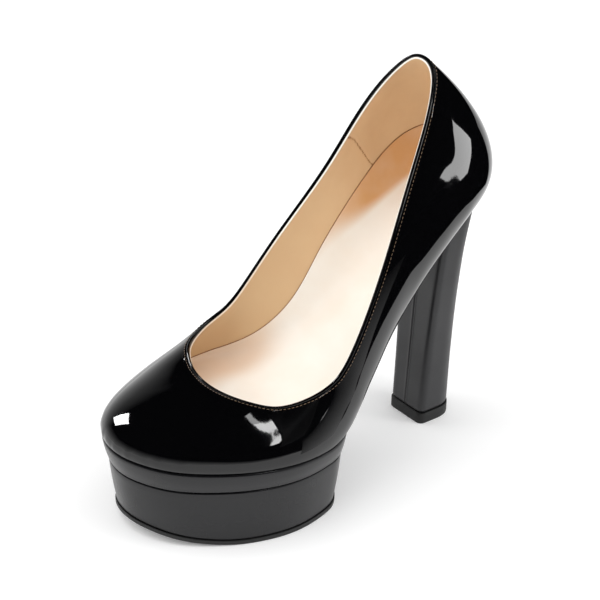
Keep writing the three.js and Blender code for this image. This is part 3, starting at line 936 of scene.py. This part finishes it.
def relaxed(stack, held, passes):
    """A grid of points eased into soft hollows: each pass moves a point towards its neighbours."""
    free = (1 - held)[..., None]
    for _ in range(passes):
        beside = (np.roll(stack, 1, 1) + np.roll(stack, -1, 1)) / 2
        ahead = stack.copy()
        ahead[1:-1] = (stack[2:] + stack[:-2]) / 2
        stack = stack + free * 0.5 * ((beside + ahead) / 2 - stack)
    return stack


def sole():
    places = places_round()
    face = wall_point(places, np.zeros_like(places), 0.0)
    inner = wall_point(places, np.zeros_like(places), WALL)
    out = outward(SOLE_EDGE, places)
    inset = np.maximum(0, ((face - inner) * out).sum(-1)) + GAP
    rings = []
    for up, step in [(0.0, 0.5), (0.15, 0.15), (0.5, 0.0), (SOLE_THICKNESS, 0.0)]:
        ring = face - out * (inset + step)[:, None]
        ring[:, 2] = under_line(ring[:, 1]) + GAP
        rings.append(ring + under_normal(ring[:, 1]) * up)
    return slab("sole_cover", rings, sole_sheet, steps=12)


sock_piece = sock()
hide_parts("insole")
sole_piece = sole()
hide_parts("sole")


# Platform

def rounded_layer(name, lower, upper_line, low_inset, high_inset, material, low_round, high_round, belly=0.0):
    """A layer of the platform between two height lines, with rounded edges and a slight belly."""
    places = np.arange(len(PLATFORM_EDGE) * PLACES_A_ROW) / PLACES_A_ROW
    rings = []
    for angle in ROUNDING:
        inset = low_inset + low_round * (1 - math.sin(angle))
        rings.append(inset_ring(PLATFORM_EDGE, places, inset, lower, low_round * (1 - math.cos(angle))))
    for part in np.linspace(0, 1, 9)[1:-1]:
        inset = share(low_inset, high_inset, part) - belly * math.sin(math.pi * part)
        ring = inset_ring(PLATFORM_EDGE, places, inset, lower)
        ring[:, 2] = share(lower(ring[:, 1]) + low_round, upper_line(ring[:, 1]) - high_round, part)
        rings.append(ring)
    for angle in ROUNDING[::-1]:
        inset = high_inset + high_round * (1 - math.sin(angle))
        fall = high_round * (1 - math.cos(angle))
        rings.append(inset_ring(PLATFORM_EDGE, places, inset, upper_line, -fall))
    return slab(name, rings, material, steps=10)


band = rounded_layer("platform_band_cover", platform_line, under_line, BAND_TAPER, 0.0, platform_cover,
                     EDGE_ROUND, EDGE_ROUND, 0.25)
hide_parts("platform_band")

platform_top = BAND_TAPER + BAND_STEP
platform_foot = platform_top + PLATFORM_TAPER
sole_top = OUTSOLE_THICKNESS + GAP
platform = rounded_layer("platform_cover", lambda y: floor_line(y) + sole_top,
                         lambda y: platform_line(y) - GAP, platform_foot, platform_top,
                         platform_cover, 0.5, 0.9, 0.3)
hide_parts("platform")

outsole_edge = platform_foot - OUTSOLE_LIP
outsole = rounded_layer("outsole_rubber", floor_line, lambda y: floor_line(y) + OUTSOLE_THICKNESS,
                        outsole_edge, outsole_edge, outsole_rubber, 0.7, 0.3)
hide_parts("outsole")


# Heel

def heel_section(front_move, back_move, widen, centre, lip, seam=0.0):
    """Points round the heel seen from above, from the breast's inner corner; seam sinks a thin line."""
    corner = CORNER_RADIUS
    front = TIP_FRONT + front_move * TIP_LENGTH - lip
    back = TIP_FRONT + (1 + back_move) * TIP_LENGTH + lip
    half = share(TIP_WIDTH, HEEL_TOP_WIDTH, widen) / 2 + lip
    middle = -TIP_INWARD * (1 - centre)
    depth = (back - front) * BACK_DEPTH
    t = np.linspace(0, 1, 11)[:, None]

    def corner_arc(a, b, c):
        return (1 - t) ** 2 * np.array(a) + 2 * t * (1 - t) * np.array(b) + t * t * np.array(c)

    def back_arc(a, b, c, d):
        s = np.linspace(0, 1, 25)[:, None]
        first = (1 - s) ** 3 * np.array(a) + 3 * s * (1 - s) ** 2 * np.array(b)
        return first + 3 * s * s * (1 - s) * np.array(c) + s ** 3 * np.array(d)

    seam_at = -0.04 * half
    width = half - corner
    near_seam = np.linspace(-1.1, 1.1, 23)
    breast = np.concatenate([np.linspace(-width, seam_at - 1.2, 12), seam_at + near_seam,
                             np.linspace(seam_at + 1.2, width, 12)])
    line = np.stack([middle + breast, np.full_like(breast, front)], 1)
    valley_width = 0.28
    shoulder_way = 0.8
    shoulder_width = 0.4
    shoulder_share = 0.35
    valley = np.exp(-((breast - seam_at) / valley_width) ** 2)
    shoulders = np.exp(-((np.abs(breast - seam_at) - shoulder_way) / shoulder_width) ** 2)
    line[:, 1] += seam * (valley - shoulder_share * shoulders)
    right = middle + half
    left = middle - half
    outer_corner = corner_arc((right - corner, front), (right, front), (right, front + corner))
    beside = back - depth * SIDE_FULLNESS
    behind = half * BACK_FULLNESS
    outer_back = back_arc((right, back - depth), (right, beside), (middle + behind, back), (middle, back))
    inner_back = back_arc((middle, back), (middle - behind, back), (left, beside), (left, back - depth))
    inner_corner = corner_arc((left, front + corner), (left, front), (left + corner, front))
    side = np.linspace(0, 1, 6)[1:-1, None]
    outer_side = np.array([right, front + corner]) + side * np.array([0, back - depth - front - corner])
    inner_side = np.array([left, back - depth]) - side * np.array([0, back - depth - front - corner])
    return np.concatenate([line, outer_corner[1:], outer_side, outer_back,
                           inner_back[1:], inner_side, inner_corner[:-1]])


def smooth_row(rows, part):
    """A row between the rows of a table, on a smooth curve through them; the first column is the place."""
    at = rows[:, 0]
    slopes = np.gradient(rows, at, axis=0)
    i = min(int(np.searchsorted(at, part, side="right")) - 1, len(at) - 2)
    step = at[i + 1] - at[i]
    t = (part - at[i]) / step
    here = (2 * t ** 3 - 3 * t ** 2 + 1) * rows[i] + (t ** 3 - 2 * t ** 2 + t) * step * slopes[i]
    return here + (-2 * t ** 3 + 3 * t ** 2) * rows[i + 1] + (t ** 3 - t ** 2) * step * slopes[i + 1]


def capped(name, rings, material):
    """A closed piece from rings of points, with one flat face at each end."""
    count = len(rings[0])
    faces = ring_faces(len(rings), count)
    faces.append(list(range(count))[::-1])
    faces.append([(len(rings) - 1) * count + i for i in range(count)])
    return solid(name, np.stack(rings), faces, material)


def heel():
    foot = LIFT_THICKNESS + GAP
    rings = []
    tucked = 0.012
    seam_depth = 0.32
    for part in np.concatenate([[0, 0.004, tucked], np.linspace(0.03, 1, 46)]):
        row = smooth_row(HEEL_ROWS, part)
        tuck = 0.5 * (1 - min(part / tucked, 1)) ** 2
        flat = heel_section(*row[1:], -tuck, seam_depth)
        z = share(foot, under_line(flat[:, 1]), part)
        rings.append(np.column_stack([flat, z]))
    return capped("heel_cover", rings, heel_cover)


def top_lift():
    rings = []
    for z, lip in [(0.0, -0.35), (0.12, -0.1), (0.45, 0.0), (3.0, 0.0), (5.6, 0.0), (5.88, -0.08),
                   (LIFT_THICKNESS, -0.35)]:
        flat = heel_section(0, 0, 0, 0, LIFT_LIP + lip)
        rings.append(np.column_stack([flat, np.full(len(flat), z)]))
    return capped("top_lift_rubber", rings, tip_rubber)


heel_piece = heel()
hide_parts("heel")
lift_piece = top_lift()
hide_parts("top_lift")


# Floor, lights and camera

def flat_sheet(name, points, faces, material):
    """A sheet from points in metres."""
    mesh = bpy.data.meshes.new(name)
    mesh.from_pydata(points, [], faces)
    mesh.materials.append(material)
    sheet = bpy.data.objects.new(name, mesh)
    scene.collection.objects.link(sheet)
    return sheet


def studio_floor():
    size = 6.0
    corners = [(-size, -size, 0), (size, -size, 0), (size, size, 0), (-size, size, 0)]
    floor = flat_sheet("studio_floor", corners, [(0, 1, 2, 3)], pale_studio_floor())


def only_in_gloss(name, points, faces, material, glow=None):
    """A card of the studio that stays out of the picture and shows in the lacquer alone, with a
    glow for each of its points."""
    card = flat_sheet(name, points, faces, material)
    card.visible_camera = False
    card.visible_diffuse = False
    card.visible_shadow = False
    if glow:
        card.data.attributes.new("glow", "FLOAT", "POINT").data.foreach_set("value", glow)


def softbox(name, place, target, size, watts, in_gloss=True, in_matt=True, along=(0.0, 0.0, 0.0)):
    """A rectangular studio light that looks at a target, all in metres; along turns its first side. It
    can be kept out of the gloss, or out of the matt surfaces and their shadows."""
    light = bpy.data.lights.new(name, "AREA")
    light.shape = "RECTANGLE"
    light.size = size[0]
    light.size_y = size[1]
    light.energy = watts
    lamp = bpy.data.objects.new(name, light)
    scene.collection.objects.link(lamp)
    look = np.array(target, float) - np.array(place, float)
    back = unit(-look)
    side = np.array(along) if any(along) else np.cross((0.0, 0.0, 1.0), back)
    side = unit(side - back * (side @ back))
    up = np.cross(back, side)
    turn = Matrix([[side[i], up[i], back[i]] for i in range(3)])
    lamp.matrix_world = Matrix.Translation(place) @ turn.to_4x4()
    lamp.visible_glossy = in_gloss
    lamp.visible_diffuse = in_matt
    lamp.visible_camera = False


def black_cloth():
    """Black cloth on the ground behind and right: the white floor that the lacquer reflects ends there."""
    edge = [(1.30, 0.26), (0.46, 0.143), (0.164, 0.097), (0.146, 0.125), (0.145, 0.19), (0.150, 0.225),
            (0.125, 0.27), (0.06, 0.30), (-0.02, 0.33)]
    height = 0.002
    far = 9.0
    points = [(x, y, height) for x, y in edge]
    points += [(far * x / math.hypot(x, y), far * y / math.hypot(x, y), height) for x, y in edge]
    count = len(edge)
    faces = [(i, i + 1, count + i + 1, count + i) for i in range(count - 1)]
    cloth, tree, shader, _ = new_material("black_cloth")
    settle(tree, shader, {"Base Color": linear("#020202"), "Roughness": 1.0, "Specular IOR Level": 0.0})
    only_in_gloss("black_cloth", points, faces, cloth)


def fading_sweep():
    """The pale sweep left and in front of the shoe as the lacquer sees it: brightest at the ground and
    fading upwards. Each stand gives its direction, its height in metres and its brightness."""
    stands = [(-150, 0.95, 1.8), (-125, 1.1, 2.2), (-105, 1.1, 2.2), (-88, 0.95, 1.6), (-70, 0.65, 1.2),
              (-45, 0.75, 1.1), (-10, 0.85, 1.1), (20, 0.75, 1.1), (45, 0.5, 1.1), (70, 0.3, 1.0),
              (95, 0.14, 0.9), (108, 0.03, 0.8)]
    radius = 1.4
    levels = 4
    points = []
    glow = []
    for level in range(levels + 1):
        up = level / levels
        for turn, height, strength in stands:
            direction = math.radians(turn)
            points.append((radius * math.sin(direction), -radius * math.cos(direction), height * up))
            glow.append(strength * (1 - up) ** 1.3)
    count = len(stands)
    faces = [(row * count + i, row * count + i + 1, (row + 1) * count + i + 1, (row + 1) * count + i)
             for row in range(levels) for i in range(count - 1)]
    only_in_gloss("fading_sweep", points, faces, paper, glow)


def grey_card():
    """A small card beside the arch that hides the rear softbox from the vamp, grey at its foot and
    black at its top, with a black card over the throat's outer corner that hides the strip light there."""
    low = 0.004
    high = 0.10
    over_throat = 0.072
    foot = [(0.108, 0.080), (0.138, 0.050), (0.172, 0.016)]
    throat = [(0.032, -0.0425), (0.078, -0.0425), (0.078, -0.020), (0.032, -0.020)]
    points = [(x, y, low) for x, y in foot] + [(x, y, high) for x, y in foot]
    points += [(x, y, over_throat) for x, y in throat]
    glow = [1.2, 1.0, 0.6] + [0.0] * 7
    only_in_gloss("grey_card", points, [(0, 1, 4, 3), (1, 2, 5, 4), (6, 7, 8, 9)], paper, glow)


def photo_camera():
    """The photograph's camera, worked out from the pair; the shift frames the one shoe. Its focal
    length and shift were worked out in pixels."""
    azimuth = math.radians(54.218)
    elevation = math.radians(27.942)
    roll = math.radians(0.143)
    pixels = 600
    focal = 1483.0
    shift_right = 52
    shift_up = -21
    sensor = 36
    closer = 1.2
    level = np.array([math.cos(azimuth), math.sin(azimuth), 0.0])
    ahead = np.array([math.sin(azimuth), -math.cos(azimuth), 0.0])
    back = ahead * math.cos(elevation) + np.array([0.0, 0.0, math.sin(elevation)])
    above = np.cross(back, level)
    right = level * math.cos(roll) + above * math.sin(roll)
    up = above * math.cos(roll) - level * math.sin(roll)
    data = bpy.data.cameras.new("photo_camera")
    data.sensor_width = sensor
    data.lens = focal / pixels * sensor * closer
    data.shift_x = shift_right / pixels * closer
    data.shift_y = shift_up / pixels * closer
    data.dof.use_dof = False
    data.clip_start = 0.01
    camera = bpy.data.objects.new("photo_camera", data)
    scene.collection.objects.link(camera)
    turn = Matrix([[right[i], up[i], back[i]] for i in range(3)])
    camera.matrix_world = Matrix.Translation((0.5653, -0.4471, 0.4850)) @ turn.to_4x4()
    scene.camera = camera


studio_floor()
black_cloth()
fading_sweep()
grey_card()
vamp_spot = (0.036, -0.051, 0.058)
softbox("key_light", (-0.25, -0.95, 1.35), (0, 0, 0.05), (1.8, 1.8), 16, in_gloss=False)
softbox("left_softbox", (-1.010, -0.174, 0.716), (-0.012, -0.094, 0.055), (0.22, 0.31), 5.3, in_matt=False,
        along=(0.376, -0.776, 0.495))
softbox("strip_light", (0.645, 0.215, 1.204), vamp_spot, (0.90, 0.05), 2.0, along=(0.798, -0.168, -0.388))
softbox("strip_end", (0.057, 0.292, 1.402), vamp_spot, (0.38, 0.06), 0.45, along=(0.378, 0.014, -0.008))
softbox("rear_softbox", (0.775, 0.72, 0.26), (0.024, 0.067, 0.155), (0.52, 0.48), 5.9,
        along=(-0.52, 0.485, 0.703))

# The white room lights floor and leather evenly, but the lacquer shows only the lamps, floor and cards.
world = bpy.data.worlds.new("studio")
scene.world = world
world.use_nodes = True
world.node_tree.nodes["Background"].inputs["Color"].default_value = (1, 1, 1, 1)
world.node_tree.nodes["Background"].inputs["Strength"].default_value = 0.70
world.cycles_visibility.glossy = False
scene.view_settings.view_transform = "Standard"
photo_camera()
